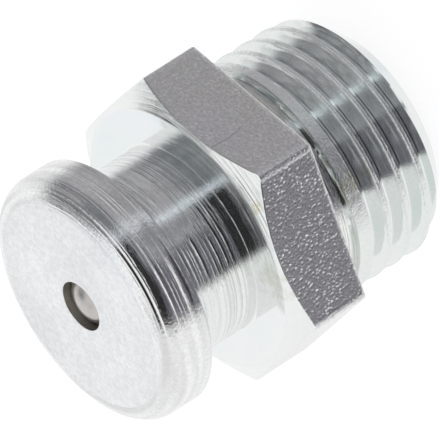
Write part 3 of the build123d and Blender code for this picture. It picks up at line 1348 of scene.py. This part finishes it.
@dataclass
class PlatedBody:
    """The zinc-plated body: turned rows and threaded shank welded into one piece."""

    turned: TurnedBody = field(default_factory=TurnedBody)
    thread: PipeThread = field(default_factory=PipeThread)
    sharp_angle: float = 38.0

    def build(self, materials: dict[Region, bpy.types.Material]) -> bpy.types.Object:
        """Build and dress the body.

        Args:
            materials: One material for each region.

        Returns:
            The body's object.
        """
        self.turned.build()
        shank = bmesh.new()
        shank.from_mesh(self.thread.mesh(materials[Region.THREAD]))
        mesh = join_closed([(self.turned.mesh(), None), (shank, Region.THREAD.value)], "plated_body")
        for region in Region:
            mesh.materials.append(materials[region])
        mesh.set_sharp_from_angle(angle=math.radians(self.sharp_angle))
        return place_object("plated_body", mesh)


# ------------------------------------------------------------------- studio


@dataclass(frozen=True)
class Viewpoint:
    """Where the camera stands and how it is turned, in degrees and millimetres."""

    bearing: float = -64.0676
    tilt: float = 26.6798
    roll: float = -122.7273
    aim: tuple[float, float, float] = (-0.3474, 0.5062, 1.2084)
    distance: float = 697.2575
    lens: float = 1579.07
    sensor: float = 36.0

    def level_axes(self) -> tuple[Vector, Vector]:
        """Level directions towards the camera and to the side of it.

        Returns:
            The two directions.
        """
        turn = math.radians(self.bearing)
        toward = Vector((math.cos(turn), math.sin(turn), 0))
        return toward, Vector((math.sin(turn), -math.cos(turn), 0))

    def build(self) -> None:
        """Build the camera."""
        data = bpy.data.cameras.new("camera")
        data.lens = self.lens
        data.sensor_width = self.sensor
        camera = bpy.data.objects.new("camera", data)
        bpy.context.scene.collection.objects.link(camera)
        turn = Matrix.Rotation(math.radians(90 + self.bearing), 4, "Z")
        turn @= Matrix.Rotation(math.radians(90 - self.tilt), 4, "X")
        turn @= Matrix.Rotation(math.radians(self.roll), 4, "Z")
        back = turn.to_3x3() @ Vector((0, 0, self.distance))
        camera.matrix_world = Matrix.Translation((Vector(self.aim) + back) * MM) @ turn
        bpy.context.scene.camera = camera


@dataclass
class Surround:
    """Soft white light with a darker room on one side, and white behind everything.

    A lane is what an upright wall mirrors when it is turned by an angle in degrees from the camera's
    bearing, however the wall is tilted, so its edges stay straight over turned grooves and rounds.
    Heights are the upward share of a ray, from -1 to 1, and each pair is the soft edge between them.
    """

    view: Viewpoint
    left_edge: float = -62.0
    strip: float = -16.5
    strip_widths: tuple[float, float] = (1.1, 2.6)
    flare: float = -10.5
    flare_widths: tuple[float, float] = (5.0, 9.0)
    dark_bars: tuple[float, float] = (2.5, 27.8)
    bar_widths: tuple[float, float] = (0.35, 1.0)
    bar_strength: float = 0.8
    right_edge: float = 28.8
    clutter: float = 0.85
    clutter_scale: float = 9.0
    clutter_seed: float = 3.0
    left_floor: tuple[float, float] = (-0.86, -0.64)
    right_floor: tuple[float, float] = (-0.9, -0.82)
    card_top: tuple[float, float] = (-0.74, -0.62)
    near_dark: tuple[float, float] = (0.0, 0.3)
    far_dark: tuple[float, float] = (-0.12, 0.15)
    near_ceiling: tuple[float, float] = (0.88, 0.95)
    far_ceiling: tuple[float, float] = (0.8, 0.88)
    bar_foot: tuple[float, float] = (0.1, 0.3)
    strip_colour: tuple[float, ...] = (0.88, 0.94, 1.0, 1.0)
    left_low: tuple[float, ...] = (0.44, 0.43, 0.443, 1.0)
    left_high: tuple[float, ...] = (0.22, 0.232, 0.245, 1.0)
    left_top: tuple[float, ...] = (0.32, 0.315, 0.325, 1.0)
    light_bar: tuple[float, ...] = (0.9, 0.9, 0.9, 1.0)
    left_bar: tuple[float, ...] = (0.02, 0.02, 0.02, 1.0)
    right_near: tuple[float, ...] = (0.335, 0.335, 0.355, 1.0)
    right_far: tuple[float, ...] = (0.19, 0.185, 0.215, 1.0)
    right_dark: tuple[float, ...] = (0.03, 0.03, 0.031, 1.0)
    right_bar: tuple[float, ...] = (0.03, 0.03, 0.03, 1.0)
    far_bar: tuple[float, ...] = (0.05, 0.05, 0.05, 1.0)
    sheet: Sheet = field(init=False)
    ray: bpy.types.NodeSocket = field(init=False)
    height: bpy.types.NodeSocket = field(init=False)
    forward: bpy.types.NodeSocket = field(init=False)
    slant: bpy.types.NodeSocket = field(init=False)
    uneven: bpy.types.NodeSocket = field(init=False)

    def build(self) -> None:
        """Build the world and make it the scene's."""
        world = bpy.data.worlds.new("soft_studio")
        self.sheet = sheet = blank_sheet(world)
        self._read_ray()
        left_room = self._left_room()
        right_room = self._right_room()
        room = sheet.blend(self._past(self.strip, 0.5), left_room, right_room)
        strip = self._lane(self.strip, *self.strip_widths)
        strip = sheet.times(strip, sheet.remap(self.height, -0.68, -0.5, 0.3, 0.95))
        room = sheet.blend(strip, room, self.strip_colour)
        flare = self._lane(self.flare, *self.flare_widths)
        flare = sheet.times(flare, sheet.remap(self.height, *self.far_ceiling))
        room = sheet.blend(flare, room, WHITE)
        right_edge = self._past(self.right_edge, 0.7, fade=True)
        dark = sheet.times(right_edge, self._past(self.left_edge, 6.0))
        surround = sheet.blend(dark, WHITE, room)
        seen = sheet.add("ShaderNodeLightPath").outputs["Is Camera Ray"]
        colour = sheet.blend(seen, surround, WHITE)
        background = sheet.add("ShaderNodeBackground", {"Color": colour, "Strength": 1.0})
        sheet.add("ShaderNodeOutputWorld", {"Surface": background.outputs[0]})
        bpy.context.scene.world = world

    def _read_ray(self) -> None:
        """Read a ray's upward share, its share towards the camera, and that less its share to the side.

        The uneven brightness of the rooms is read along the same ray.
        """
        sheet = self.sheet
        self.ray = sheet.add("ShaderNodeTexCoord").outputs["Generated"]
        self.height = sheet.split(self.ray)[2]
        toward, side = self.view.level_axes()
        self.forward = sheet.vector("DOT_PRODUCT", self.ray, toward)
        self.slant = sheet.minus(self.forward, sheet.vector("DOT_PRODUCT", self.ray, side))
        cloud = sheet.noise(self.ray, self.clutter_scale, 3.0, 0.6, self.clutter_seed)
        self.uneven = sheet.remap(cloud, 0.3, 0.7, 1 - self.clutter, 1 + self.clutter, smooth=False)

    def _left_room(self) -> bpy.types.NodeSocket:
        """Grey room left of the strip light, then a light bar, a dark bar and the white far side.

        Returns:
            The colour.
        """
        sheet, height, slant = self.sheet, self.height, self.slant
        room = sheet.blend(sheet.remap(height, -0.5, 0.3), self.left_low, self.left_high)
        room = sheet.blend(sheet.remap(height, 0.4, 0.8), room, self.left_top)
        room = sheet.scaled(room, self.uneven)
        room = sheet.blend(sheet.fade(height, *self.left_floor), room, WHITE)
        room = sheet.blend(sheet.fade(slant, 0.03, 0.12), room, self.light_bar)
        bar = sheet.times(sheet.fade(slant, -0.16, -0.08), sheet.remap(height, *self.bar_foot))
        room = sheet.blend(bar, room, self.left_bar)
        return sheet.blend(sheet.fade(slant, -0.56, -0.49), room, WHITE)

    def _right_room(self) -> bpy.types.NodeSocket:
        """Room right of the strip light: dark above, grey below, with a white card and ceiling.

        Returns:
            The colour.
        """
        sheet, height = self.sheet, self.height
        past_bar = self._past(self.dark_bars[0], 1.0)
        room = sheet.scaled(sheet.blend(past_bar, self.right_near, self.right_far), self.uneven)
        floor = sheet.fade(height, *self.right_floor)
        card = sheet.times(past_bar, sheet.fade(height, *self.card_top))
        room = sheet.blend(sheet.math("MAXIMUM", floor, card), room, WHITE)
        above = [sheet.remap(height, *edge) for edge in (self.near_dark, self.far_dark)]
        room = sheet.blend(sheet.blend(past_bar, *above), room, self.right_dark)
        for bar in self.dark_bars:
            line = sheet.times(self._lane(bar, *self.bar_widths), self.bar_strength)
            room = sheet.blend(line, room, self.right_bar)
        above = [sheet.remap(height, *edge) for edge in (self.near_ceiling, self.far_ceiling)]
        room = sheet.blend(sheet.blend(past_bar, *above), room, WHITE)
        room = sheet.blend(sheet.fade(self.forward, -0.3, -0.2), room, WHITE)
        away = sheet.math("ABSOLUTE", sheet.plus(self.forward, 0.49))
        bar = sheet.remap(away, 0.05, 0.09, 0.9, 0.0)
        bar = sheet.times(bar, sheet.remap(height, *self.bar_foot))
        return sheet.blend(bar, room, self.far_bar)

    def _beyond(self, facing: float) -> bpy.types.NodeSocket:
        """How far a mirrored ray lies to the side of a lane.

        Args:
            facing: The lane's angle.

        Returns:
            The distance in degrees of the wall's angle.
        """
        turn = math.radians(facing)
        level = math.cos(math.radians(self.view.tilt))
        toward, side = self.view.level_axes()
        across = math.cos(turn) * side - math.sin(turn) * toward
        along = self.sheet.vector("DOT_PRODUCT", self.ray, across)
        offset = self.sheet.minus(along, level * math.sin(turn))
        return self.sheet.ratio(offset, math.radians(2 * level * math.cos(turn)))

    def _past(self, facing: float, soft: float, fade: bool = False) -> bpy.types.NodeSocket:
        """Mask of what lies to the side of a lane.

        Args:
            facing: The lane's angle.
            soft: Half width of the soft edge in degrees.
            fade: Whether the mask falls from 1 to 0 instead of rising.

        Returns:
            The mask.
        """
        mask = self.sheet.fade if fade else self.sheet.remap
        return mask(self._beyond(facing), -soft, soft)

    def _lane(self, facing: float, core: float, reach: float) -> bpy.types.NodeSocket:
        """Mask of a narrow lane.

        Args:
            facing: The lane's angle.
            core: Half width at full strength, in degrees.
            reach: Half width where it ends, in degrees.

        Returns:
            The mask.
        """
        return self.sheet.fade(self.sheet.math("ABSOLUTE", self._beyond(facing)), core, reach)


@dataclass
class Floor:
    """Plain pale floor that keeps a faint shadow and can't be seen from below."""

    level: float = END_Z
    half: float = 400.0
    tones: tuple[float, float] = (0.2, 0.22)
    glow: float = 0.9

    def build(self) -> None:
        """Build and dress the floor."""
        half, level = self.half * MM, self.level * MM
        mesh = bpy.data.meshes.new("floor")
        corners = [(x, y, level) for x, y in ((-half, -half), (half, -half), (half, half), (-half, half))]
        mesh.from_pydata(corners, [], [(0, 1, 2, 3)])
        mesh.materials.append(self._material())
        floor = place_object("floor", mesh)
        floor.visible_glossy = False

    def _material(self) -> bpy.types.Material:
        """Paper that shines for the camera alone.

        Returns:
            The material.
        """
        material = bpy.data.materials.new("pale_floor")
        sheet = blank_sheet(material)
        place = sheet.add("ShaderNodeTexCoord").outputs["Object"]
        mottle = sheet.remap(sheet.noise(place, 40.0), 0.3, 0.7, *self.tones)
        paper = sheet.add("ShaderNodeBsdfDiffuse", {"Color": sheet.join(mottle, mottle, mottle)})
        seen = sheet.add("ShaderNodeLightPath").outputs["Is Camera Ray"]
        strength = sheet.times(seen, self.glow)
        shine = sheet.add("ShaderNodeEmission", {"Color": WHITE, "Strength": strength})
        lit = sheet.add("ShaderNodeAddShader", {0: paper.outputs[0], 1: shine.outputs[0]})
        clear = sheet.add("ShaderNodeBsdfTransparent")
        below = sheet.add("ShaderNodeNewGeometry").outputs["Backfacing"]
        share = sheet.add("ShaderNodeMixShader", {0: below, 1: lit.outputs[0], 2: clear.outputs[0]})
        sheet.add("ShaderNodeOutputMaterial", {"Surface": share.outputs[0]})
        return material


# --------------------------------------------------------------------- main


def main() -> None:
    """Build every piece, dress it and tie it to the frame."""
    logging.basicConfig(level=logging.INFO, format="%(name)s: %(message)s")
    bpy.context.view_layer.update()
    effects = EffectGroups()
    materials = {region: finish.material(effects) for region, finish in FINISHES.items()}

    body = PlatedBody().build(materials)
    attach(body, "body")
    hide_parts("nipple_body")
    LOG.info("plated body: %d faces", len(body.data.polygons))

    springs = ValveSpring()
    spring = springs.build(SPRING_FINISH.material(effects))
    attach(spring, "body")
    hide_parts("valve_spring")
    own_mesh(spring)
    LOG.info("valve spring: %d faces", len(spring.data.polygons))

    ball = frame["nodes"]["check_ball"]
    ball.data.materials.clear()
    ball.data.materials.append(BALL_FINISH.material(effects))
    LOG.info("check ball: %d faces", len(ball.data.polygons))

    view = Viewpoint()
    Surround(view).build()
    Floor().build()
    view.build()
    bpy.context.scene.view_settings.view_transform = "Standard"


if __name__ == "__main__":
    main()
